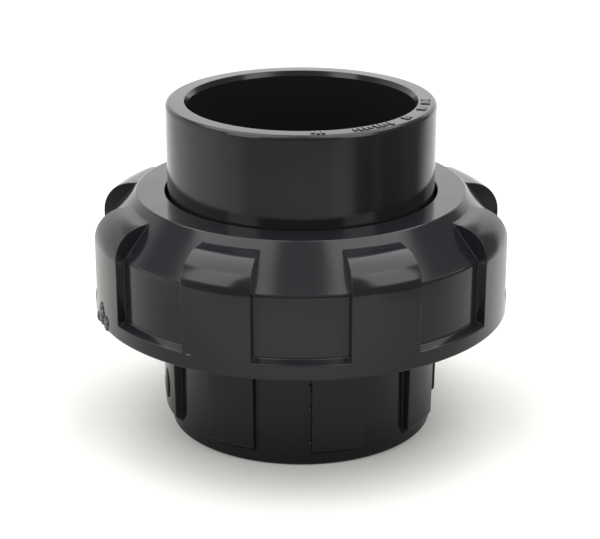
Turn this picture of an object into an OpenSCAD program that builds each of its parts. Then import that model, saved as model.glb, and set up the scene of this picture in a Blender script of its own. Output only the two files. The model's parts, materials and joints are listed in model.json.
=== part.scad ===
// Pipe union for solvent-cement pressure pipe, standing on its lower socket.
// Four pieces: the threaded body below, the sealing ring in its face, the flanged end above,
// and the nut that hangs on the end and screws down on the body.
// Millimetres, +Z up along the pipe's axis, origin at the centre of the lower rim.

/* [Pipe and sockets] */
// Outside diameter of the pipe
pipe_d = 63; // [48:1:80]
// Radial clearance between the pipe and its socket
pipe_clearance = 0.15; // [0.05:0.05:0.3]
// Depth of each pipe socket
socket_depth = 38; // [28:0.5:50]
// Wall thickness round each socket
socket_wall = 5.85; // [4.5:0.05:8]
// Width of the stop at the end of a socket, on the radius
stop_w = 3.15; // [2:0.05:4]
// Outer rounding of the upper rim
upper_rim_round = 1.2; // [0.5:0.1:2]
// Outer rounding of the lower rim
lower_rim_round = 0.6; // [0.3:0.1:2]
// Depth of the lead-in chamfer at each socket's mouth
lead_in_h = 1.4; // [0.5:0.1:3]
// Width of the lead-in chamfer at each socket's mouth
lead_in_w = 0.75; // [0.3:0.05:1.5]

/* [Threaded body] */
// Height of the body above the end of its socket
body_web = 13.2; // [11:0.1:20]
// Length of the threaded ring
thread_ring_h = 15.6; // [14:0.1:19]
// Wall of the threaded ring, inside the root of its thread
thread_ring_wall = 4.2; // [3:0.1:6]
// Chamfer on the turned edges of the body and the flange
edge_chamfer = 0.8; // [0.3:0.1:1.2]
// Thickness of the face that carries the seal
face_t = 7; // [6:0.1:9]
// Number of grip ribs round the lower socket
rib_count = 8; // [6:1:10]
// Angle that each grip rib covers
rib_angle = 21.6; // [12:0.2:24]
// Height of a grip rib above the socket's wall
rib_h = 2.2; // [1:0.1:3]
// Height of the ribs' lower ends above the lower rim
rib_z = 3.4; // [2:0.1:8]

/* [Sealing ring] */
// Thickness of the seal's cord before it is squeezed
seal_d = 5.7; // [4:0.1:6.5]
// Height of the seal once it is squeezed
seal_h = 4.5; // [3.3:0.1:5]
// Gap that the seal holds open between the two faces
seal_gap = 0.3; // [0.1:0.05:0.6]
// Radial play of the seal in its groove
seal_play = 0.2; // [0.1:0.05:0.5]
// Distance from the waterway to the groove
seal_inset = 4.2; // [2:0.1:6]

/* [Flanged end] */
// Thickness of the end's stop, below its socket
end_web = 4.2; // [3:0.1:8]
// Thickness of the flange
flange_h = 9; // [6:0.1:12]
// Width of the flange outside the end's wall
flange_w = 9.3; // [7:0.1:12]

/* [Nut] */
// Radial gap between the nut's hole and the end's wall
hole_gap = 0.7; // [0.4:0.05:1.2]
// Thickness of the nut's lip over the flange
lip_h = 7.7; // [5:0.1:11]
// Clearance between the lip and the flange, and round the flange
flange_gap = 0.6; // [0.3:0.05:1]
// Height of the nut
nut_h = 34.1; // [31:0.1:38]
// Width of the flat ring on the nut's top
nut_flat_w = 8; // [5:0.1:9]
// Height of the nut's cone
cone_h = 11.4; // [8:0.1:14]
// Wall between the nut's thread and its grip pockets
nut_wall = 6.3; // [5:0.1:9]
// Number of grip lugs
lug_count = 8; // [6:1:10]
// Angle that each grip lug covers
lug_angle = 19.6; // [12:0.2:24]
// Height of a lug above the floor of the pockets
lug_h = 2.4; // [1:0.1:4]
// Distance from the nut's flat ring out to where a lug rises from the cone
lug_inset = 1.9; // [1:0.1:3]
// Width of the narrow ledge at a lug's upper end
lug_ledge_w = 1.7; // [0.5:0.1:3]
// Height of the full round band below the pockets
band_h = 4.3; // [2:0.1:8]
// Rounding of the nut's lower edge
nut_edge = 0.6; // [0.2:0.1:1.5]

/* [Thread] */
// Pitch of the nut's thread
thread_pitch = 6; // [5:0.5:6.5]
// Depth of the thread
thread_h = 2.4; // [1.5:0.1:3]
// Clearance between the two threads
thread_gap = 0.35; // [0.25:0.05:0.5]
// Slope of the thread's flanks, from square
flank_angle = 20; // [5:1:30]
// Plain land left at each end of a thread
thread_land = 0.3; // [0.2:0.1:1]

/* [Hidden] */
$fn = 96;

eps = 0.01;
grey = [0.16, 0.165, 0.175];
black = [0.05, 0.05, 0.05];

socket_r = pipe_d / 2 + pipe_clearance;
wall_r = socket_r + socket_wall;
waterway_r = socket_r - stop_w;

face_z = socket_depth + body_web;
seat_z = face_z + seal_gap;
end_socket_z = seat_z + end_web;
total_h = end_socket_z + socket_depth;

flange_r = wall_r + flange_w;
flange_top_z = seat_z + flange_h;
lip_gap = 0.2;
lip_z = flange_top_z + lip_gap;
nut_top_z = lip_z + lip_h;
nut_z = nut_top_z - nut_h;

hole_r = wall_r + hole_gap;
chamber_r = flange_r + flange_gap;
nut_crest_r = chamber_r + 0.1;
nut_root_r = nut_crest_r + thread_h;
body_root_r = nut_crest_r - thread_gap;
body_crest_r = nut_root_r - thread_gap;
pocket_r = nut_root_r + nut_wall;
nut_r = pocket_r + lug_h;

flat_r = hole_r + nut_flat_w;
cone_z = nut_top_z - cone_h;
cone_slope = cone_h / (pocket_r - flat_r);
lug_start_r = flat_r + lug_inset;
lug_start_z = nut_top_z - lug_inset * cone_slope;
lug_ledge_z = lug_start_z - 0.3;
lug_round = nut_r - lug_start_r - lug_ledge_w;
pocket_z = nut_z + band_h;
pocket_step = 1;
pocket_draft = 0.3;
lug_pitch = 360 / lug_count;

ring_z = face_z - thread_ring_h;
ring_in_r = body_root_r - thread_ring_wall;
core_top_z = face_z - face_t;
rib_pitch = 360 / rib_count;
rib_phase = -90 + rib_pitch / 3;
rib_end = 1.5;
rib_draft = 0.3;
ring_draft = 0.4;

groove_d = seal_h - seal_gap;
groove_in_r = waterway_r + seal_inset;
groove_w = seal_d + 2 * seal_play;
seal_r = groove_in_r + groove_w / 2;

// Widths of a thread's ridge at its root and at its crest, both threads alike
ridge_mid_w = thread_pitch / 2 - thread_gap;
ridge_root_w = ridge_mid_w + thread_h * tan(flank_angle);
ridge_crest_w = ridge_mid_w - thread_h * tan(flank_angle);
ridge_sink = 0.5;
ridge_steps = 60;
ridge_fade = 24;
ridge_margin = ridge_root_w / 2 + thread_land;
body_ridge_z = ring_z + edge_chamfer + ridge_margin;
body_turns = (face_z - edge_chamfer - ridge_margin - body_ridge_z) / thread_pitch;

// The nut's ridge lies half a pitch below the body's at every angle. It starts at the first
// twelfth of a turn that clears the nut's mouth
nut_mouth_h = 0.6;
nut_mouth_w = 1.6;
helix_z = body_ridge_z - thread_pitch / 2;
nut_start_turn = ceil((nut_z + nut_mouth_h + ridge_margin - helix_z) / thread_pitch * 12) / 12;
nut_ridge_z = helix_z + nut_start_turn * thread_pitch;
nut_turns = (seat_z - ridge_margin - nut_ridge_z) / thread_pitch;

// A helical ridge of trapezoid section. It starts at start_a and start_z, rises to the right hand,
// and fades into its wall at both ends. A tip inside the root makes an internal thread.
module helical_ridge(root_r, tip_r, start_a, start_z, turns) {
    side = sign(tip_r - root_r);
    sink_w = ridge_root_w + 2 * ridge_sink * tan(flank_angle);
    steps = round(turns * ridge_steps);
    points = [for (i = [0 : steps])
        let (turned = turns * 360 * i / steps,
             share = min(1, turned / ridge_fade, (turns * 360 - turned) / ridge_fade),
             tip = root_r + (tip_r - root_r) * share + side * 0.05,
             tip_w = ridge_root_w + (ridge_crest_w - ridge_root_w) * share,
             sunk = root_r - side * ridge_sink,
             a = start_a + turned,
             z = start_z + thread_pitch * turned / 360)
        for (corner = [[sunk, -sink_w / 2], [tip, -tip_w / 2], [tip, tip_w / 2], [sunk, sink_w / 2]])
            [corner[0] * cos(a), corner[0] * sin(a), z + side * corner[1]]];
    skin = [for (i = [0 : steps - 1], j = [0 : 3])
        let (here = 4 * i + j, beside = 4 * i + (j + 1) % 4)
        each [[here, beside, beside + 4], [here, beside + 4, here + 4]]];
    last = 4 * steps;
    polyhedron(points, concat([[3, 2, 1], [3, 1, 0]], skin,
                              [[last, last + 1, last + 2], [last, last + 2, last + 3]]));
}

// A turned socket wall: plain bore, lead-in chamfer at the mouth, rounded outer rim.
// It opens downwards at z = 0 and ends at the stop.
module socket_profile(wall_h, rim_round) {
    difference() {
        union() {
            translate([0, rim_round]) square([wall_r, wall_h - rim_round]);
            square([wall_r - rim_round, wall_h]);
            translate([wall_r - rim_round, rim_round]) circle(rim_round);
        }
        square([socket_r, socket_depth]);
        square([waterway_r, wall_h]);
        polygon([[0, -eps], [socket_r + lead_in_w, -eps], [socket_r + lead_in_w, 0],
                 [socket_r, lead_in_h], [0, lead_in_h]]);
    }
}

// The body's turned outline: socket, face with the seal's groove, and a hollow threaded ring
module body_profile() {
    difference() {
        union() {
            socket_profile(core_top_z + 1, lower_rim_round);
            polygon([[waterway_r, core_top_z],
                     [ring_in_r - ring_draft, core_top_z],
                     [ring_in_r, ring_z],
                     [body_root_r - edge_chamfer, ring_z],
                     [body_root_r, ring_z + edge_chamfer],
                     [body_root_r, face_z - edge_chamfer],
                     [body_root_r - edge_chamfer, face_z],
                     [waterway_r, face_z]]);
        }
        translate([groove_in_r, face_z - groove_d]) square([groove_w, groove_d + 1]);
    }
}

// A grip rib on the socket's wall, which runs up inside the threaded ring as its web
module grip_rib() {
    web_z = ring_z + 0.4;
    rotate([0, 0, -rib_angle / 2])
        rotate_extrude(angle = rib_angle)
            polygon([[wall_r - 1, rib_z],
                     [wall_r, rib_z],
                     [wall_r + rib_h - rib_draft, rib_z + rib_end],
                     [wall_r + rib_h, web_z],
                     [ring_in_r + 1, web_z],
                     [ring_in_r + 1, core_top_z + 1],
                     [wall_r - 1, core_top_z + 1]]);
}

module threaded_body() {
    color(grey)
        union() {
            rotate_extrude() body_profile();
            for (i = [0 : rib_count - 1])
                rotate([0, 0, rib_phase + i * rib_pitch]) grip_rib();
            helical_ridge(body_root_r, body_crest_r, 0, body_ridge_z, body_turns);
        }
}

module sealing_ring() {
    color(black)
        translate([0, 0, seat_z - seal_h / 2])
            rotate_extrude()
                translate([seal_r, 0])
                    intersection() {
                        circle(seal_d / 2);
                        square([seal_d, seal_h], center = true);
                    }
}

module union_end() {
    edge = edge_chamfer;
    color(grey)
        rotate_extrude()
            union() {
                translate([0, total_h]) mirror([0, 1]) socket_profile(total_h - seat_z, upper_rim_round);
                polygon([[waterway_r, seat_z],
                         [flange_r - edge, seat_z],
                         [flange_r, seat_z + edge],
                         [flange_r, flange_top_z - edge],
                         [flange_r - edge, flange_top_z],
                         [wall_r - 1, flange_top_z],
                         [wall_r - 1, end_socket_z],
                         [waterway_r, end_socket_z]]);
            }
}

// The nut's turned outline with its lugs all the way round, before the pockets and the bore.
// A lug leaves the cone on a narrow ledge and rounds over to the outer wall.
module nut_blank_profile() {
    round_r = nut_r - lug_round;
    round_z = lug_ledge_z - lug_round;
    difference() {
        union() {
            translate([0, nut_z]) square([nut_r, round_z - nut_z]);
            translate([round_r, round_z]) intersection() {
                circle(lug_round);
                translate([-eps, -eps]) square(lug_round + 1);
            }
            polygon([[0, round_z - eps], [round_r, round_z - eps], [round_r, lug_ledge_z],
                     [lug_start_r, lug_start_z], [flat_r, nut_top_z], [0, nut_top_z]]);
        }
        polygon([[nut_r - nut_edge, nut_z], [nut_r + 1, nut_z - 1], [nut_r + 1, nut_z + nut_edge + 1],
                 [nut_r, nut_z + nut_edge]]);
    }
}

// What the nut is hollowed by: hole, flange chamber and room for the thread
module nut_bore_profile() {
    polygon([[0, nut_z - 1],
             [nut_root_r + nut_mouth_w, nut_z - 1],
             [nut_root_r, nut_z + nut_mouth_h],
             [nut_root_r, seat_z],
             [chamber_r, seat_z + nut_root_r - chamber_r],
             [chamber_r, lip_z],
             [hole_r, lip_z],
             [hole_r, nut_top_z + 1],
             [0, nut_top_z + 1]]);
}

// One lug's plan as a prism: what the ring of pockets leaves standing
module lug_prism() {
    half = lug_angle / 2;
    draft = pocket_draft;
    far = nut_r + 3;
    near = flat_r - 2;
    linear_extrude(nut_top_z + 2)
        polygon([[near * cos(half + draft), near * sin(half + draft)],
                 [pocket_r * cos(half + draft), pocket_r * sin(half + draft)],
                 [far * cos(half - draft / 2), far * sin(half - draft / 2)],
                 [far * cos(half - draft / 2), -far * sin(half - draft / 2)],
                 [pocket_r * cos(half + draft), -pocket_r * sin(half + draft)],
                 [near * cos(half + draft), -near * sin(half + draft)]]);
}

module grip_pockets() {
    difference() {
        rotate_extrude()
            polygon([[lug_start_r, lug_start_z],
                     [pocket_r, cone_z],
                     [pocket_r, pocket_z + pocket_step],
                     [nut_r, pocket_z],
                     [nut_r + 2, pocket_z],
                     [nut_r + 2, nut_top_z + 1],
                     [lug_start_r, nut_top_z + 1]]);
        for (i = [0 : lug_count - 1])
            rotate([0, 0, -90 + (i + 0.5) * lug_pitch]) lug_prism();
    }
}

module union_nut() {
    color(grey)
        union() {
            difference() {
                rotate_extrude()
                    difference() {
                        nut_blank_profile();
                        nut_bore_profile();
                    }
                grip_pockets();
            }
            helical_ridge(nut_root_r, nut_crest_r, nut_start_turn * 360, nut_ridge_z, nut_turns);
        }
}

threaded_body();
sealing_ring();
union_end();
union_nut();
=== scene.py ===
# %% [markdown]
# # A pipe union, in four pieces
#
# A union joins two lengths of pressure pipe so that they can be taken apart again. A threaded
# body is cemented to one pipe and a flanged end to the other. A big lugged nut hangs on the
# flange, and screws down on the body until the two faces squeeze a rubber ring between them.
#
# The CAD model already has the sizes, the clearances and the joints. It comes in as a fixed
# frame, and the pieces below stand in for its four solids: the same shapes, with the rounded
# edges, the small marks and the surface that a mould leaves.

# %% The fixed frame
import json
from math import acos, ceil, cos, degrees, hypot, pi, radians, sin, tan

import bmesh
import bpy
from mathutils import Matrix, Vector

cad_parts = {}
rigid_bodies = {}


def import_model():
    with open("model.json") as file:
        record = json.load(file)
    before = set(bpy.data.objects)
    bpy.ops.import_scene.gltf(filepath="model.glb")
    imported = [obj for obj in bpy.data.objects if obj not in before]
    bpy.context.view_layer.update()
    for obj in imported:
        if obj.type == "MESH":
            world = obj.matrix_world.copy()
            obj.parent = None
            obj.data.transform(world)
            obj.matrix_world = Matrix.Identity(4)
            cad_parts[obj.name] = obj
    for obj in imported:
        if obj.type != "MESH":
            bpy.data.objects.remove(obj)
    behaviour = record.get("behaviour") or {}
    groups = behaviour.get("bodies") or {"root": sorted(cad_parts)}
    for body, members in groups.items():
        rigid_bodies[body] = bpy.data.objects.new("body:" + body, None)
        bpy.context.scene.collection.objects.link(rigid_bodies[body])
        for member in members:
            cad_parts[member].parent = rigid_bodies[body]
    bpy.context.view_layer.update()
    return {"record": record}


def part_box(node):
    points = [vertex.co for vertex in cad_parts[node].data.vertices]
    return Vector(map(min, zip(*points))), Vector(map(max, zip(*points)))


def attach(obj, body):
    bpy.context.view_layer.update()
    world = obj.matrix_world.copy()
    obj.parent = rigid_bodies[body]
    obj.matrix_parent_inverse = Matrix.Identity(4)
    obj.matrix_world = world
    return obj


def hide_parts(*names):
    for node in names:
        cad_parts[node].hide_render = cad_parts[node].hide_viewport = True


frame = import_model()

# %% [markdown]
# ## Sizes
#
# Turned mouldings are thought of as an outline spun round an axis, so every size here is a
# radius or a height, in millimetres. The outer sizes are read from the frame. The others are
# the walls, steps and gaps that a pattern maker would put on the drawing.

# %% Sizes that the frame gives
MM = 0.001


def measured(node):
    """The lowest and the highest height and the outer radius of a CAD solid, in millimetres."""
    low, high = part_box(node)
    return round(low.z / MM, 3), round(high.z / MM, 3), round(high.x / MM, 3)


seat_z, top_z, flange_r = measured("union_end")
nut_z, nut_top_z, nut_r = measured("union_nut")
rim_z, face_z, thread_r = measured("threaded_body")
lower_socket = frame["record"]["mounts"][1]
socket_r = lower_socket["dims"]["r_mm"]
bore_length = lower_socket["dims"]["length_mm"]
lead_in_h = lower_socket["pos_m"][2] / MM - bore_length / 2
socket_depth = bore_length + lead_in_h
print("seat", seat_z, "top", top_z, "flange", flange_r, "nut", nut_z, nut_top_z, nut_r)
print("body from", rim_z, "to", face_z, "thread", thread_r, "socket", socket_r, "deep", round(socket_depth, 2))

# %% Walls, steps and gaps
wall_r = socket_r + 5.85
waterway_r = socket_r - 3.15
lead_in_r = socket_r + 0.75
flange_top_z = seat_z + 9
lip_z = flange_top_z + 0.2
hole_r = wall_r + 0.7
chamber_r = flange_r + 0.6

pitch = 6
thread_h = 2.4
thread_gap = 0.35
nut_root_r = chamber_r + 0.1 + thread_h
body_root_r = nut_root_r - thread_h - thread_gap
ring_z = face_z - 15.6
print("walls at", wall_r, "threads cut to", nut_root_r, "and", body_root_r)

# %% [markdown]
# ## Outlines with rounded corners
#
# No moulded edge is perfectly sharp, and a rounded one is what catches a thin line of light.
# A Bevel modifier could round the edges afterwards, but where a lug melts into a cone it would
# run into itself. Here each outline is drawn with its corners already rounded: an arc that
# touches both of the lines that meet there.


# %% Rounding an outline's corners
def fillet(before, corner, after, radius, steps=4):
    """Points of the arc that rounds a corner between two straight lines of an outline."""
    middle_of_corner = Vector(corner)
    to_before = (Vector(before) - middle_of_corner).normalized()
    to_after = (Vector(after) - middle_of_corner).normalized()
    half = to_before.angle(to_after) / 2
    centre = middle_of_corner + (to_before + to_after).normalized() * radius / sin(half)
    start = middle_of_corner + to_before * radius / tan(half) - centre
    end = middle_of_corner + to_after * radius / tan(half) - centre
    sweep = pi - 2 * half
    points = []
    for step in range(steps + 1):
        passed = sweep * step / steps
        spoke = (start * sin(sweep - passed) + end * sin(passed)) / sin(sweep)
        points.append(tuple(centre + spoke))
    return points


def rounded(corners, steps=4):
    """An outline through (radius, height, rounding) corners. A rounding of 0 stays a point."""
    outline = []
    for i, (r, z, rounding) in enumerate(corners):
        if rounding:
            before = corners[i - 1][:2]
            after = corners[(i + 1) % len(corners)][:2]
            outline += fillet(before, (r, z), after, rounding, steps)
        else:
            outline.append((r, z))
    return outline


print("a square corner rounded by 1:", [(round(r, 2), round(z, 2)) for r, z in rounded(
    [(0, 0, 0), (5, 0, 1), (5, 5, 0)])])

# %% [markdown]
# ## Turned pieces
#
# A piece that is round all over starts as a ring of points. The ring is extruded to the next
# height and resized to the next radius, again and again along the outline, as a potter draws
# up a wall. The last ring lands on the first one, and merging the two closes the piece.

# %% Drawing a ring along an outline
AROUND = 192


def place(r, z, turn):
    """The point at a radius and height in millimetres and a turn from +X, in metres."""
    return Vector((r * cos(turn), r * sin(turn), z)) * MM


def draw_out(outline):
    """Extrudes the selected ring through an outline, one new ring for each of its points."""
    for (r_now, z_now), (r, z) in zip(outline, outline[1:]):
        rise = (0, 0, (z - z_now) * MM)
        bpy.ops.mesh.extrude_region_move(TRANSFORM_OT_translate={"value": rise})
        if r != r_now:
            bpy.ops.transform.resize(value=(r / r_now, r / r_now, 1),
                                     center_override=(0, 0, z * MM))


def close_up():
    """Merges what meets, and turns every face outwards."""
    bpy.ops.mesh.select_all(action="SELECT")
    bpy.ops.mesh.remove_doubles(threshold=MM / 200)
    bpy.ops.mesh.normals_make_consistent(inside=False)
    bpy.ops.object.mode_set(mode="OBJECT")


def settle(piece, name, body, node):
    """Names a piece, smooths its rounded corners and puts it in the place of its CAD solid."""
    piece.name = name
    piece.data.name = name
    bpy.ops.object.shade_smooth_by_angle(angle=radians(38))
    weighted = piece.modifiers.new("Flats stay flat", "WEIGHTED_NORMAL")
    weighted.keep_sharp = True
    bpy.ops.object.modifier_apply(modifier=weighted.name)
    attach(piece, body)
    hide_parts(node)
    low = min(corner[2] for corner in piece.bound_box) / MM
    high = max(corner[2] for corner in piece.bound_box) / MM
    print(name, len(piece.data.polygons), "faces, from", round(low, 2), "to", round(high, 2))


def open_edges(piece):
    """How many edges of a mesh don't have exactly two faces: none, on a closed solid."""
    mesh = bmesh.new()
    mesh.from_mesh(piece.data)
    count = sum(1 for edge in mesh.edges if len(edge.link_faces) != 2)
    mesh.free()
    return count


def turned(outline):
    """A closed turned solid with this closed outline."""
    bpy.ops.object.select_all(action="DESELECT")
    r, z = outline[0]
    bpy.ops.mesh.primitive_circle_add(vertices=AROUND, radius=r * MM, fill_type="NOTHING",
                                      location=(0, 0, z * MM))
    bpy.ops.object.transform_apply(location=True)
    bpy.ops.object.mode_set(mode="EDIT")
    bpy.ops.mesh.select_all(action="SELECT")
    draw_out(outline + outline[:1])
    close_up()
    return bpy.context.object


# %% [markdown]
# ## The flanged end
#
# This is the upper moulding: a pipe socket with a flange at its foot. The socket's mouth has
# a small lead-in chamfer that lets the pipe find its way, and a well rounded outer rim. At its
# foot a step stops the pipe, and only the waterway goes on. The flange is hidden in the nut,
# and shows when the nut is off.

# %% Turn the flanged end
chamfer = 0.8
end_outline = rounded([
    (waterway_r, seat_z, 0.2),
    (flange_r - chamfer, seat_z, 0.15),
    (flange_r, seat_z + chamfer, 0.15),
    (flange_r, flange_top_z - chamfer, 0.15),
    (flange_r - chamfer, flange_top_z, 0.15),
    (wall_r, flange_top_z, 0.3),
    (wall_r, top_z, 1.2),
    (lead_in_r, top_z, 0.12),
    (socket_r, top_z - lead_in_h, 0.3),
    (socket_r, top_z - socket_depth, 0.3),
    (waterway_r, top_z - socket_depth, 0.3),
])
flanged_end = turned(end_outline)
print("open edges:", open_edges(flanged_end))

# %% [markdown]
# ## Marks on the rim
#
# Moulded fittings carry a few raised marks on the rim, such as a row of bars that shows the
# month in which the tool was cut. Each bar here is a small bevelled block, half sunk in the
# rim. They are plain bars and say nothing. Blocks that overlap the rim need no boolean, because
# the two are one moulding of one colour.


# %% Welding small shapes on a moulding
def from_front(angle):
    """The turn from +X of a place that lies this many degrees to the right of the front."""
    return radians(angle - 90)


def weld_on(piece, *extras):
    """Makes extras part of the same moulding as piece."""
    bpy.ops.object.select_all(action="DESELECT")
    for extra in extras:
        extra.select_set(True)
    piece.select_set(True)
    bpy.context.view_layer.objects.active = piece
    bpy.ops.object.join()


def raised_bar(r, z, turn, length, width, proud):
    """A bevelled bar that points to the axis and stands proud of the height z."""
    bpy.ops.object.select_all(action="DESELECT")
    bpy.ops.mesh.primitive_cube_add(size=MM, location=place(r, z, turn),
                                    rotation=(0, 0, turn), scale=(length, width, 2 * proud))
    bpy.ops.object.transform_apply()
    bpy.ops.object.mode_set(mode="EDIT")
    bpy.ops.mesh.select_all(action="SELECT")
    bpy.ops.mesh.bevel(offset=0.07 * MM, segments=2, affect="EDGES")
    bpy.ops.object.mode_set(mode="OBJECT")
    return bpy.context.object


# %% Set the bars on the rim
bar_r = (lead_in_r + wall_r - 1.2) / 2
bar_angles = [5, 7.2, 9.4, 24, 26.6, 29.2, 31.8, 35, 37.6, 40.2, 43, 54, 56.6,
              71, 73, 75, 81.5, 83.7, 85.9, 88.1]
bar_w = 1.0
bar_proud = 0.25
bars = []
for count, angle in enumerate(bar_angles):
    length = 2.6 if count % 3 else 1.7
    bars.append(raised_bar(bar_r, top_z, from_front(angle), length, bar_w, bar_proud))
weld_on(flanged_end, *bars)
print(len(bars), "bars, open edges:", open_edges(flanged_end))
settle(flanged_end, "flanged_end", "union_end", "union_end")

# %% [markdown]
# ## The sealing ring
#
# The seal is a rubber cord moulded into a ring. It lies in a groove, and when the union is
# closed the flanged end flattens it, so its outline is a circle cut off above and below. A fine
# line of flash is left round its middle, where the two halves of its mould met.

# %% Turn the sealing ring
cord_r = 5.7 / 2
squeezed_h = 4.5
groove_r = waterway_r + 4.2
groove_w = 2 * cord_r + 0.4
groove_z = seat_z - squeezed_h
seal_r = groove_r + groove_w / 2
seal_z = seat_z - squeezed_h / 2
flat_from = degrees(acos(squeezed_h / 2 / cord_r))
flash = 0.08

seal_outline = []
for side in (0, 180):
    for step in range(-6, 7):
        a = radians(side + step * (90 - flat_from) / 6)
        reach = cord_r + (flash if step == 0 else 0)
        seal_outline.append((seal_r + reach * cos(a), seal_z + reach * sin(a)))
rubber_ring = turned(seal_outline)
print("open edges:", open_edges(rubber_ring))
settle(rubber_ring, "rubber_ring", "threaded_body", "sealing_ring")

# %% [markdown]
# ## Pieces with lugs or ribs
#
# The nut and the body aren't round all over: eight lugs stand out of one, and eight ribs out of
# the other. They could be cut from a turned blank with booleans, but the cuts would leave knife
# edges. A mould has rounded ones, so these are lofted instead, as a hull is over its frames. An
# outline is drawn at each of a series of turns, from the middle of a pocket to the middle of a
# lug, and the outlines are bridged. Between the two, on the side of the lug, the outline changes
# from the low one to the high one: a hollow round at the foot, a steep wall, and a rounded edge.
#
# That half of one pitch is mirrored and copied round, and the open rings that are left at its
# two ends are drawn along the inside until they meet.

# %% The side of a lug, from its foot to its edge
side_slope = radians(84)


def lug_side(height, rounding):
    """(distance from the foot, share of the height) along the side of a lug."""
    foot = []
    for step in range(5):
        a = side_slope * step / 4
        foot.append((rounding * sin(a), rounding * (1 - cos(a)) / height))
    wall_w = height * (1 - 2 * foot[-1][1]) / tan(side_slope)
    across = 2 * foot[-1][0] + wall_w
    edge = [(across - w, 1 - share) for w, share in reversed(foot)]
    return foot + edge


print("the side of a lug 2.4 high:", [(round(w, 2), round(s, 2)) for w, s in lug_side(2.4, .4)])


# %% Lofting one half of a pitch and copying it round
def draw_chain(outline, turn, first):
    """Draws an outline as a chain of edges at this turn round the axis."""
    r, z = outline[0]
    bpy.ops.mesh.primitive_plane_add(size=MM, location=place(r, z, turn))
    if first:
        bpy.ops.object.transform_apply(location=True)
        bpy.ops.object.mode_set(mode="EDIT")
        bpy.ops.mesh.select_all(action="SELECT")
    bpy.ops.mesh.merge(type="CENTER")
    for here, there in zip(outline, outline[1:]):
        move = place(*there, turn) - place(*here, turn)
        bpy.ops.mesh.extrude_region_move(TRANSFORM_OT_translate={"value": move})


def select_open_ring(z):
    """Selects the points of the open edges at this height."""
    mesh = bmesh.from_edit_mesh(bpy.context.object.data)
    bpy.ops.mesh.select_all(action="DESELECT")
    for edge in mesh.edges:
        if edge.is_boundary and all(abs(v.co.z - z * MM) < MM / 100 for v in edge.verts):
            edge.select_set(True)
    bmesh.update_edit_mesh(bpy.context.object.data)


def lofted(low, high, count, high_angle, side, side_r, inside, phase):
    """A ring of lugs: low and high are outlines with as many points, count the lugs, high_angle
    the degrees that one covers, and inside the outline that leads from the last to the first."""
    half_pitch = 180 / count
    side_turns = [degrees(w / side_r) for w, share in side]
    foot = high_angle / 2 + side_turns[-1] / 2
    edge = foot - side_turns[-1]
    low_steps = ceil((half_pitch - foot) * AROUND / 360)
    high_steps = ceil(edge * AROUND / 360)
    stations = [(half_pitch - (half_pitch - foot) * i / low_steps, 0) for i in range(low_steps)]
    stations += [(foot - turn, share) for turn, (w, share) in zip(side_turns, side)]
    stations += [(edge * (1 - i / high_steps), 1) for i in range(1, high_steps + 1)]

    bpy.ops.object.select_all(action="DESELECT")
    for turn, share in stations:
        outline = [(r0 + (r1 - r0) * share, z0 + (z1 - z0) * share)
                   for (r0, z0), (r1, z1) in zip(low, high)]
        draw_chain(outline, radians(turn), turn == half_pitch)
    bpy.ops.mesh.select_all(action="SELECT")
    bpy.ops.mesh.bridge_edge_loops(type="SINGLE")

    bpy.ops.object.mode_set(mode="OBJECT")
    mirror = bpy.context.object.modifiers.new("Other half", "MIRROR")
    mirror.use_axis = (False, True, False)
    mirror.merge_threshold = MM / 200
    bpy.ops.object.modifier_apply(modifier=mirror.name)

    bpy.ops.object.mode_set(mode="EDIT")
    bpy.ops.mesh.select_all(action="SELECT")
    bpy.ops.mesh.spin(dupli=True, steps=count - 1, angle=2 * pi * (count - 1) / count,
                      center=(0, 0, 0), axis=(0, 0, 1))
    bpy.ops.mesh.select_all(action="SELECT")
    bpy.ops.mesh.remove_doubles(threshold=MM / 200)
    select_open_ring(low[-1][1])
    draw_out([low[-1]] + inside + [low[0]])
    bpy.ops.mesh.select_all(action="SELECT")
    bpy.ops.transform.rotate(value=-radians(phase), orient_axis="Z",
                             center_override=(0, 0, 0))
    close_up()
    return bpy.context.object


# %% [markdown]
# ## The thread ridges
#
# A thread is a ridge of one section wound round a wall. The Screw modifier would wind it, but
# its ends would be cut off square. Here a small face is extruded, lifted and turned a step at a
# time, and it starts and ends small, so that the ridge fades into the wall as a moulded one
# does. Its root is sunk a little into the wall behind it.

# %% Winding a ridge
turn_steps = 60
fade_steps = 4
flank = tan(radians(20))
ridge_w = pitch / 2 - thread_gap
ridge_root_w = ridge_w + thread_h * flank
ridge_margin = ridge_root_w / 2 + 0.3
sunk = 0.5


def wound_ridge(root_r, outward, start_z, start_turn, turns):
    """A ridge of the thread, outward (1) from a wall at root_r or inward (-1)."""
    foot_r = root_r - outward * sunk
    tip_r = root_r + outward * thread_h
    foot_w = ridge_root_w / 2 + sunk * flank
    tip_w = ridge_w / 2 - thread_h * flank / 2
    section = [(foot_r, start_z - foot_w), (tip_r, start_z - tip_w),
               (tip_r, start_z + tip_w), (foot_r, start_z + foot_w),
               (foot_r, start_z - foot_w)]
    bpy.ops.object.select_all(action="DESELECT")
    draw_chain(section, start_turn, True)
    bpy.ops.mesh.select_all(action="SELECT")
    bpy.ops.mesh.remove_doubles(threshold=MM / 200)
    bpy.ops.mesh.edge_face_add()

    steps = round(turns * turn_steps)
    size_now = 1
    for step in range(steps + 1):
        z = start_z + pitch * step / turn_steps
        turn = start_turn + 2 * pi * step / turn_steps
        if step:
            rise = (0, 0, pitch / turn_steps * MM)
            bpy.ops.mesh.extrude_region_move(TRANSFORM_OT_translate={"value": rise})
            bpy.ops.transform.rotate(value=-2 * pi / turn_steps, orient_axis="Z",
                                     center_override=(0, 0, 0))
        size = min(1, (step + 1) / (fade_steps + 1), (steps - step + 1) / (fade_steps + 1))
        if size != size_now:
            change = size / size_now
            bpy.ops.transform.resize(value=(change, change, change),
                                     center_override=place(foot_r, z, turn))
            size_now = size
    close_up()
    return bpy.context.object


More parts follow.
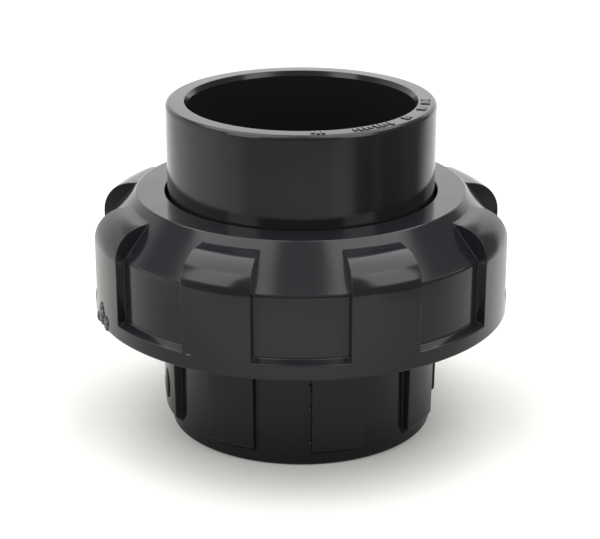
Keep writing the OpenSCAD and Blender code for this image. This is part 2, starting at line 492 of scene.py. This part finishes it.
# %% [markdown]
# ## The threaded body
#
# The lower moulding has the same socket, mouth down. Eight broad ribs give a strap wrench
# something to hold. They run up under a hollow threaded ring as its webs, because a thick
# solid ring would sink as it cooled. The top face has the groove for the seal.

# %% Loft the threaded body
rib_count = 8
rib_angle = 21.6
rib_h = 2.2
rib_z = 3.4
rib_r = wall_r + rib_h
ring_in_r = body_root_r - 4.2
web_z = ring_z + 0.4
core_z = face_z - 7

rim = fillet((socket_r, 0), (wall_r, 0), (wall_r, 9), 0.6)
rib_foot = rounded([(wall_r, rib_z, 0), (rib_r - 0.3, rib_z + 1.5, 0.9),
                    (rib_r, web_z, 0)])[:-1]
wall_foot = [(wall_r, z) for r, z in rib_foot]
rib_outline = rim + rib_foot + [(rib_r, web_z - 14)] + rounded([
    (rib_r, web_z - 13, 0), (rib_r, web_z, 0.6), (ring_in_r - 0.02, web_z, 0.15),
    (ring_in_r, ring_z, 0)])
wall_outline = rim + wall_foot + [(wall_r, web_z - 14)] + rounded([
    (wall_r, web_z - 13, 0), (wall_r, core_z, 0.6), (ring_in_r - 0.4, core_z, 0.6),
    (ring_in_r, ring_z, 0)])
body_inside = rounded([
    (body_root_r - chamfer, ring_z, 0.2),
    (body_root_r, ring_z + chamfer, 0.2),
    (body_root_r, face_z - chamfer, 0.2),
    (body_root_r - chamfer, face_z, 0.2),
    (groove_r + groove_w, face_z, 0.15),
    (groove_r + groove_w, groove_z, 0.3),
    (groove_r, groove_z, 0.3),
    (groove_r, face_z, 0.15),
    (waterway_r, face_z, 0.2),
    (waterway_r, socket_depth, 0.3),
    (socket_r, socket_depth, 0.3),
    (socket_r, lead_in_h, 0.3),
    (lead_in_r, 0, 0.12),
    (wall_r - 1, 0, 0),
])
body = lofted(wall_outline, rib_outline, rib_count, rib_angle, lug_side(rib_h, 0.25), wall_r,
              body_inside, phase=-90 + 360 / rib_count / 3)
print("open edges:", open_edges(body))

# %% Wind the body's thread
body_ridge_z = ring_z + chamfer + ridge_margin
body_turns = (face_z - chamfer - ridge_margin - body_ridge_z) / pitch
body_ridge = wound_ridge(body_root_r, 1, body_ridge_z, 0, body_turns)
print("body's ridge:", round(body_turns, 2), "turns, open edges:", open_edges(body_ridge))
weld_on(body, body_ridge)

# %% [markdown]
# ## Traces of the mould
#
# Where a sprue was broken or trimmed off, a moulding keeps a low torn patch, and an ejector or
# a patched tool leaves a smooth raised one. Each patch is a ball pressed flat on the wall. A
# torn one also has its points shaken about, always with the same seed, so that it comes out the
# same each time.


# %% A patch on a wall
def patch(r, z, turn, width, height, proud, torn=0, seed=0):
    """A flattened ball on a wall at radius r, width by height, that stands proud of it."""
    bpy.ops.object.select_all(action="DESELECT")
    bpy.ops.mesh.primitive_ico_sphere_add(subdivisions=4, radius=MM, rotation=(0, 0, turn),
                                          location=place(r, z, turn),
                                          scale=(proud, width / 2, height / 2))
    bpy.ops.object.transform_apply()
    if torn:
        bpy.ops.object.mode_set(mode="EDIT")
        bpy.ops.mesh.select_all(action="SELECT")
        bpy.ops.transform.vertex_random(offset=torn * MM, uniform=0.2, normal=0.8, seed=seed)
        bpy.ops.object.mode_set(mode="OBJECT")
    return bpy.context.object


# %% Small nibs beside the front rib, and a pad on the left one
nibs = [patch(wall_r, z, from_front(4), 1.5, size, 0.8)
        for z, size in ((23.5, 1.6), (16.5, 2.6), (6.5, 1.8))]
rib_pad = patch(rib_r - 0.1, 12.6, from_front(-75.5), 4.6, 9.4, 0.55)
weld_on(body, *nibs, rib_pad)
print("patches on the body:", len(nibs) + 1, "open edges:", open_edges(body))
settle(body, "ribbed_body", "threaded_body", "threaded_body")

# %% [markdown]
# ## The nut
#
# The nut's top is a flat ring, then a cone. Each lug leaves the cone on a narrow ledge and
# rounds over to the outer wall, and between the lugs the cone runs on down to the floor of a
# pocket, which a hand in a wet glove can grip. Below the pockets a full round band stiffens the
# mouth. For every point of a lug's rounding, the low outline has the point of the cone that
# lies straight behind it.

# %% Outlines over a lug and down a pocket
lug_count = 8
lug_angle = 19.6
lug_h = 2.4
lug_inset = 1.9
ledge_w = 1.7
ledge_drop = 0.3
lead_up = 0.35
cone_h = 11.4
pocket_r = nut_r - lug_h
flat_r = hole_r + 8
cone_slope = cone_h / (pocket_r - flat_r)
cone_z = nut_top_z - cone_h
lug_start_r = flat_r + lug_inset
lug_start_z = nut_top_z - lug_inset * cone_slope
lug_round = nut_r - lug_start_r - ledge_w
centre_r = nut_r - lug_round
centre_z = lug_start_z - ledge_drop - lug_round
pocket_z = nut_z + 4.3

nut_top = rounded([(hole_r, nut_top_z - 3, 0), (hole_r, nut_top_z, 0.45),
                   (flat_r, nut_top_z, 0.7), (lug_start_r, lug_start_z, 0)])[1:-1]
nut_foot = rounded([(nut_r, pocket_z - 1, 0), (nut_r, nut_z, 0.6),
                    (nut_root_r + 0.6, nut_z, 0)])

shared_top = nut_top + [(lug_start_r - lead_up, lug_start_z + lead_up * cone_slope)]
lug_outline = list(shared_top)
pocket_outline = list(shared_top)
for share in (0, 0.25, 0.6):
    lug_outline.append((lug_start_r + share * ledge_w, lug_start_z - share * ledge_drop))
    r = lug_start_r + share * ledge_w * 0.6
    pocket_outline.append((r, nut_top_z - (r - flat_r) * cone_slope))
round_steps = 10
for step in range(round_steps + 1):
    a = pi / 2 * step / round_steps
    lug_outline.append((centre_r + lug_round * sin(a), centre_z + lug_round * cos(a)))
    behind = nut_top_z - (centre_r - flat_r) * cone_slope - centre_z
    behind /= cos(a) + cone_slope * sin(a)
    pocket_outline.append((centre_r + behind * sin(a), centre_z + behind * cos(a)))
floor_of_pocket = rounded([
    (flat_r, nut_top_z, 0), (pocket_r, cone_z - 0.4, 0.9), (pocket_r, pocket_z + 1, 0.5),
    (nut_r, pocket_z, 0.35), (nut_r, nut_z, 0)])[1:-1]
pocket_outline += floor_of_pocket + nut_foot
lug_outline += [(nut_r, z) for r, z in floor_of_pocket] + nut_foot
print("points in each outline:", len(lug_outline), len(pocket_outline))

# %% Loft the nut
nut_inside = rounded([
    (nut_root_r, nut_z + 0.6, 0.2),
    (nut_root_r, seat_z, 0.3),
    (chamber_r, seat_z + nut_root_r - chamber_r, 0.3),
    (chamber_r, lip_z, 0.4),
    (hole_r, lip_z, 0.3),
    (hole_r, nut_top_z - 1, 0),
])
nut = lofted(pocket_outline, lug_outline, lug_count, lug_angle, lug_side(lug_h, 0.2), nut_r,
             nut_inside, phase=180 / lug_count)
print("open edges:", open_edges(nut))

# %% Wind the nut's thread
helix_z = body_ridge_z - pitch / 2
mouth_z = nut_z + 0.6 + ridge_margin
start = ceil(round((mouth_z - helix_z) / pitch * 12, 6)) / 12
nut_ridge_z = helix_z + start * pitch
nut_turns = (seat_z - ridge_margin - nut_ridge_z) / pitch
nut_ridge = wound_ridge(nut_root_r, -1, nut_ridge_z, 2 * pi * start, nut_turns)
print("nut's ridge:", round(nut_turns, 2), "turns, open edges:", open_edges(nut_ridge))
weld_on(nut, nut_ridge)

# %% [markdown]
# ## The scar
#
# The nut was cut off its sprue roughly, low on its left. Three torn patches that overlap make
# the scar, and one small nick lies under the next pocket.

# %% Leave the sprue's scar on the nut's band
scar = [
    patch(nut_r - 0.2, 38, from_front(-69.8), 3.4, 6.8, 0.65, torn=0.3, seed=3),
    patch(nut_r - 0.2, 36.5, from_front(-66), 3, 4.4, 0.6, torn=0.28, seed=5),
    patch(nut_r - 0.3, 36.2, from_front(-72.5), 3, 3, 1.0, torn=0.3, seed=7),
    patch(nut_r - 0.05, 38.5, from_front(-30.1), 2.2, 0.5, 0.1, torn=0.03, seed=8),
]
weld_on(nut, *scar)
print("scar and nick:", len(scar), "patches, open edges:", open_edges(nut))
settle(nut, "lugged_nut", "union_nut", "union_nut")

# %% [markdown]
# ## The finish of moulded plastic
#
# Pressure pipe fittings are moulded in a dark grey PVC that is close to black, with a
# semi-gloss skin. An even colour and an even gloss would look like a drawing of it. The real
# skin is a little wavy, because the plastic shrinks as it cools, it has a fine grain, and
# handling dulls it in smears. Those three are one node group, so that the grey plastic and the
# black rubber can both use it, each with its own amounts. The group reads object coordinates,
# which stay with the piece when it moves.


# %% A node group for the skin
def wire(tree, *pairs):
    """Links (output, input) pairs."""
    for output, socket in pairs:
        tree.links.new(output, socket)


def noise(tree, where, scale, detail):
    """A noise pattern. The scale is in ripples for each metre."""
    node = tree.nodes.new("ShaderNodeTexNoise")
    node.inputs["Scale"].default_value = scale
    node.inputs["Detail"].default_value = detail
    tree.links.new(where, node.inputs["Vector"])
    return node.outputs["Fac"]


def math(tree, operation, *values):
    """One sum on numbers or sockets."""
    node = tree.nodes.new("ShaderNodeMath")
    node.operation = operation
    for socket, value in zip(node.inputs, values):
        if isinstance(value, (int, float)):
            socket.default_value = value
        else:
            tree.links.new(value, socket)
    return node.outputs[0]


skin = bpy.data.node_groups.new("Moulded skin", "ShaderNodeTree")
for title in ("Waves", "Grain", "Smears"):
    made = skin.interface.new_socket(name=title, in_out="INPUT", socket_type="NodeSocketFloat")
    made.default_value = 1
for title in ("Tone", "Dullness", "Height"):
    skin.interface.new_socket(name=title, in_out="OUTPUT", socket_type="NodeSocketFloat")
given = skin.nodes.new("NodeGroupInput").outputs
result = skin.nodes.new("NodeGroupOutput").inputs
where = skin.nodes.new("ShaderNodeTexCoord").outputs["Object"]
waves = math(skin, "MULTIPLY", noise(skin, where, 70, 1), given["Waves"])
grain = math(skin, "MULTIPLY", noise(skin, where, 2600, 2), given["Grain"])
smears = math(skin, "SUBTRACT", noise(skin, where, 38, 5), 0.5)
smears = math(skin, "MULTIPLY", smears, given["Smears"])
wire(skin,
     (math(skin, "ADD", smears, 1), result["Tone"]),
     (smears, result["Dullness"]),
     (math(skin, "MULTIPLY_ADD", waves, 4, grain), result["Height"]))
print("Moulded skin:", len(skin.nodes), "nodes")

# %% [markdown]
# ## Painted highlights on the edges
#
# The rounded edges of the lugs and rims catch thin lines of light, and here a painted highlight
# stands in for them: the colour turns lighter on the edges, and they are made a little rougher.
# The mesh itself says where its edges are, by how pointed it is at each place, and a noise breaks
# the painted highlight up.

# %% A node group for the painted edge highlights
painted_edge_highlight = bpy.data.node_groups.new("Painted edge highlights", "ShaderNodeTree")
made = painted_edge_highlight.interface.new_socket(name="Amount", in_out="INPUT", socket_type="NodeSocketFloat")
made.default_value = 0.5
painted_edge_highlight.interface.new_socket(name="Painted highlight", in_out="OUTPUT", socket_type="NodeSocketFloat")
amount = painted_edge_highlight.nodes.new("NodeGroupInput").outputs["Amount"]
where = painted_edge_highlight.nodes.new("ShaderNodeTexCoord").outputs["Object"]
pointed = painted_edge_highlight.nodes.new("ShaderNodeNewGeometry").outputs["Pointiness"]
# Painted highlight: the more pointed the mesh, the lighter the colour, standing in for the light that rounded
# edges catch.
edges = math(painted_edge_highlight, "MULTIPLY", math(painted_edge_highlight, "SUBTRACT", pointed, 0.51), 14)
broken = math(painted_edge_highlight, "MULTIPLY", edges, noise(painted_edge_highlight, where, 300, 4))
clamped_highlight = painted_edge_highlight.nodes.new("ShaderNodeClamp")
wire(painted_edge_highlight,
     (math(painted_edge_highlight, "MULTIPLY", broken, amount), clamped_highlight.inputs["Value"]),
     (clamped_highlight.outputs["Result"], painted_edge_highlight.nodes.new("NodeGroupOutput").inputs["Painted highlight"]))
print("Painted edge highlights:", len(painted_edge_highlight.nodes), "nodes")


# %% A finish from the two groups
def finish(name, colour, highlight_colour, roughness, waves, grain, smears, highlight_amount, depth):
    """A moulded material. The colours are linear, and depth is the bump's height in metres."""
    material = bpy.data.materials.new(name)
    material.use_nodes = True
    tree = material.node_tree
    shader = tree.nodes["Principled BSDF"]
    shader.inputs["IOR"].default_value = 1.5

    surface = tree.nodes.new("ShaderNodeGroup")
    surface.node_tree = skin
    for title, value in (("Waves", waves), ("Grain", grain), ("Smears", smears)):
        surface.inputs[title].default_value = value
    edge_highlighting = tree.nodes.new("ShaderNodeGroup")
    edge_highlighting.node_tree = painted_edge_highlight
    edge_highlighting.inputs["Amount"].default_value = highlight_amount

    # The highlight colour is blended in on the edges as a painted highlight, and the edges also get a little
    # rougher.
    blend = tree.nodes.new("ShaderNodeMix")
    blend.data_type = "RGBA"
    blend.inputs["A"].default_value = (*colour, 1)
    blend.inputs["B"].default_value = (*highlight_colour, 1)
    toned = tree.nodes.new("ShaderNodeVectorMath")
    toned.operation = "SCALE"
    bump = tree.nodes.new("ShaderNodeBump")
    bump.inputs["Distance"].default_value = depth
    rough = math(tree, "ADD", surface.outputs["Dullness"], roughness)
    wire(tree,
         (edge_highlighting.outputs["Painted highlight"], blend.inputs["Factor"]),
         (blend.outputs["Result"], toned.inputs["Vector"]),
         (surface.outputs["Tone"], toned.inputs["Scale"]),
         (toned.outputs["Vector"], shader.inputs["Base Color"]),
         (math(tree, "MULTIPLY_ADD", edge_highlighting.outputs["Painted highlight"], 0.15, rough),
          shader.inputs["Roughness"]),
         (surface.outputs["Height"], bump.inputs["Height"]),
         (bump.outputs["Normal"], shader.inputs["Normal"]))
    return material


# The second colour of each finish is its painted edge highlight.
end_pvc = finish("Dark grey PVC of the end", (0.0145, 0.0145, 0.0152), (0.05, 0.05, 0.052),
                 roughness=0.15, waves=0.5, grain=0.06, smears=0.12, highlight_amount=0.5, depth=0.00005)
nut_pvc = finish("Dark grey PVC of the nut", (0.0155, 0.016, 0.0192), (0.05, 0.05, 0.055),
                 roughness=0.15, waves=0.6, grain=0.06, smears=0.12, highlight_amount=0.5, depth=0.00005)
body_pvc = finish("Dark grey PVC of the body", (0.009, 0.009, 0.0093), (0.05, 0.05, 0.052),
                  roughness=0.16, waves=0.5, grain=0.06, smears=0.12, highlight_amount=0.5, depth=0.00005)
black_rubber = finish("Black rubber", (0.008, 0.008, 0.008), (0.02, 0.02, 0.02),
                      roughness=0.6, waves=0.3, grain=1.0, smears=0.3, highlight_amount=0.3, depth=0.00006)
for piece, material in ((flanged_end, end_pvc), (nut, nut_pvc), (body, body_pvc),
                        (rubber_ring, black_rubber)):
    piece.data.materials.clear()
    piece.data.materials.append(material)
    print(piece.name, "is", material.name)

# %% [markdown]
# ## Pale where it is torn
#
# Plastic turns pale where it is torn, because it opens up into fine cracks. So the faces of the
# scar get a finish of their own. They are found by their place: nothing else on the nut stands
# further out than its band.

# %% Make the scar pale
# Its second colour is the painted highlight on the scar's edges.
torn_pvc = finish("Torn PVC", (0.22, 0.22, 0.222), (0.36, 0.36, 0.36),
                  roughness=0.45, waves=0.5, grain=1.0, smears=0.2, highlight_amount=0.6, depth=0.0001)
nut.data.materials.append(torn_pvc)
outside_band = (nut_r + 0.03) * MM
torn_faces = 0
for face in nut.data.polygons:
    if hypot(face.center.x, face.center.y) > outside_band:
        face.material_index = 1
        torn_faces += 1
print("torn faces:", torn_faces)

# %% [markdown]
# ## The studio
#
# A dark glossy thing is lit by what it mirrors. It stands on a round white table in a white
# room, under two lit halves of a ceiling with dark gaps in front and behind, and a tall soft box
# stands in front on each side of the camera. They put the bright patches on the lugs and the
# cone. A dark flag on the right of the table draws the shape of the barrel, and a dark stretch
# of wall behind the camera draws the lower edges of the lugs. The soft boxes are lamps, and the
# rest is painted on the world by direction. What the camera sees past the table is plain white.
#
# The paint is a brightness for each turn round the part, given as a curve, at four heights: what
# lies round the table, the walls, the cornice and the ceiling. Heights are sines of the angle
# above the horizon.


# %% Two helpers for painting by direction
def shades(tree, turn, stops):
    """A brightness for each turn round the part, from (degrees from the front, value) stops."""
    curve = tree.nodes.new("ShaderNodeFloatCurve")
    line = curve.mapping.curves[0]
    for position, (angle, value) in enumerate(stops):
        place_on_curve = ((angle + 180) / 360, value / 4)
        if position < 2:
            line.points[-position].location = place_on_curve
        else:
            line.points.new(*place_on_curve)
    for point in line.points:
        point.handle_type = "VECTOR"
    curve.mapping.update()
    tree.links.new(turn, curve.inputs["Value"])
    return math(tree, "MULTIPLY", curve.outputs["Value"], 4)


def between(tree, value, low, high, below, above):
    """Changes smoothly from the below socket or number to the above one."""
    node = tree.nodes.new("ShaderNodeMapRange")
    node.interpolation_type = "SMOOTHSTEP"
    node.inputs["From Min"].default_value = low
    node.inputs["From Max"].default_value = high
    tree.links.new(value, node.inputs["Value"])
    for socket, side in (("To Min", below), ("To Max", above)):
        if isinstance(side, (int, float)):
            node.inputs[socket].default_value = side
        else:
            tree.links.new(side, node.inputs[socket])
    return node.outputs["Result"]


print("a helper for the turn, and one for the height")


# %% The room, painted on the world
room = bpy.data.worlds.new("White room")
bpy.context.scene.world = room
room.use_nodes = True
tree = room.node_tree
background = tree.nodes["Background"]
background.inputs["Color"].default_value = (1, 1, 1, 1)
split = tree.nodes.new("ShaderNodeSeparateXYZ")
wire(tree, (tree.nodes.new("ShaderNodeTexCoord").outputs["Generated"], split.inputs[0]))
front = math(tree, "MULTIPLY", split.outputs["Y"], -1)
turn = math(tree, "ARCTAN2", split.outputs["X"], front)
turn = math(tree, "MULTIPLY_ADD", turn, 1 / (2 * pi), 0.5)
floor_side = shades(tree, turn, [(-180, 1.4), (180, 1.4), (-134, 1.1), (-56, 0.9), (-46, 0.55),
                                 (-36, 0.52), (0, 0.62), (24, 0.64), (30, 0.86), (42, 0.76),
                                 (48, 0.12), (62, 0.06), (67, 0.25), (73, 0.06), (95, 0.1),
                                 (100, 0.2), (105, 0.12), (116, 0.15), (134, 1.1)])
wall_side = shades(tree, turn, [(-180, 1.5), (180, 1.5), (-150, 1.1), (-133, 0.9), (-75, 0.9),
                                (-62, 0.16), (0, 0.13), (130, 0.2), (136, 1.0), (150, 1.3)])
ceiling = shades(tree, turn, [(-180, 0.4), (180, 0.4), (-174, 0.6), (-164, 2.5), (-90, 2.4),
                              (-30, 2.0), (-20, 0.4), (20, 0.4), (30, 2.3), (90, 2.4),
                              (164, 2.7), (174, 0.6)])
height = split.outputs["Z"]
low = between(tree, height, -0.3, -0.22, floor_side, wall_side)
cornice = between(tree, height, 0.44, 0.5, low, 0.25)
whole = between(tree, height, 0.66, 0.7, cornice, ceiling)
seen = tree.nodes.new("ShaderNodeLightPath").outputs["Is Camera Ray"]
strength = between(tree, seen, 0, 1, whole, 1.2)
wire(tree, (strength, background.inputs["Strength"]))
print("world:", len(tree.nodes), "nodes")


# %% Two soft boxes in front
def soft_box(name, turn, height_angle, distance, width, depth, brightness):
    """A rectangular light that faces the part. Brightness 1 shows as plain white."""
    aim = Vector((0, 0, 0.05))
    back = Vector((cos(turn) * cos(height_angle), sin(turn) * cos(height_angle),
                   sin(height_angle)))
    facing = back.to_track_quat("Z", "Y").to_euler()
    bpy.ops.object.light_add(type="AREA", location=aim + back * distance, rotation=facing)
    lamp = bpy.context.object
    lamp.name = name
    lamp.data.shape = "RECTANGLE"
    lamp.data.size = width
    lamp.data.size_y = depth
    lamp.data.energy = brightness * pi * width * depth
    print(name, round(lamp.data.energy, 1), "W over", round(width * depth, 2), "square metres")
    return lamp


for name, side in (("left", -1), ("right", 1)):
    soft_box("Soft box " + name, from_front(side * 50), radians(24), distance=1.3,
             width=0.6, depth=0.92, brightness=2.4)

# %% [markdown]
# ## The table
#
# The table is white and matt, with a slightly warm paint. The room falls a little short of the
# light that would show it as pure white, so the camera sees it in a lighter paint than the part
# does. What the part mirrors carries painted shade: a painted shadow that is darker in front and
# darkest close to the part's foot, and painted light that makes the table lighter behind.

# %% The table
bpy.ops.object.select_all(action="DESELECT")
bpy.ops.mesh.primitive_circle_add(vertices=128, radius=0.205, fill_type="NGON",
                                  location=(0, 0, -0.0002))
table = bpy.context.object
table.name = "White table"
paint = bpy.data.materials.new("White paint")
paint.use_nodes = True
tree = paint.node_tree
shader = tree.nodes["Principled BSDF"]
shader.inputs["Roughness"].default_value = 0.9
shader.inputs["Specular IOR Level"].default_value = 0
seen = tree.nodes.new("ShaderNodeLightPath").outputs["Is Camera Ray"]
split = tree.nodes.new("ShaderNodeSeparateXYZ")
wire(tree, (tree.nodes.new("ShaderNodeTexCoord").outputs["Object"], split.inputs[0]))
# Painted shade for what the part mirrors: a painted shadow in front, darkest close to the part's foot, and
# painted light behind it.
painted_shadow_in_front = between(tree, split.outputs["Y"], -0.15, -0.09, 0.55, 0.38)
mirrored = between(tree, split.outputs["Y"], -0.06, 0.06, painted_shadow_in_front, 0.85)
shade = between(tree, seen, 0, 1, mirrored, 1.0)
warm = tree.nodes.new("ShaderNodeCombineColor")
wire(tree,
     (shade, warm.inputs["Red"]),
     (math(tree, "MULTIPLY", shade, 0.988), warm.inputs["Green"]),
     (math(tree, "MULTIPLY", shade, 0.955), warm.inputs["Blue"]),
     (warm.outputs["Color"], shader.inputs["Base Color"]))
table.data.materials.append(paint)
print("table", round(table.dimensions.x, 2), "m across")

# %% [markdown]
# ## The camera
#
# It stands half a metre away, a little above the part, and looks down at it through a long
# lens, as one photographs a small product.

# %% The camera
bpy.ops.object.camera_add(location=(-0.0003, -0.4790, 0.2208), rotation=(radians(69.68), 0, 0))
camera = bpy.context.object
camera.data.sensor_width = 36
camera.data.lens = 107.1
bpy.context.scene.camera = camera
bpy.context.scene.view_settings.view_transform = "Standard"
print("camera", round(camera.location.length, 3), "m from the foot of the part")
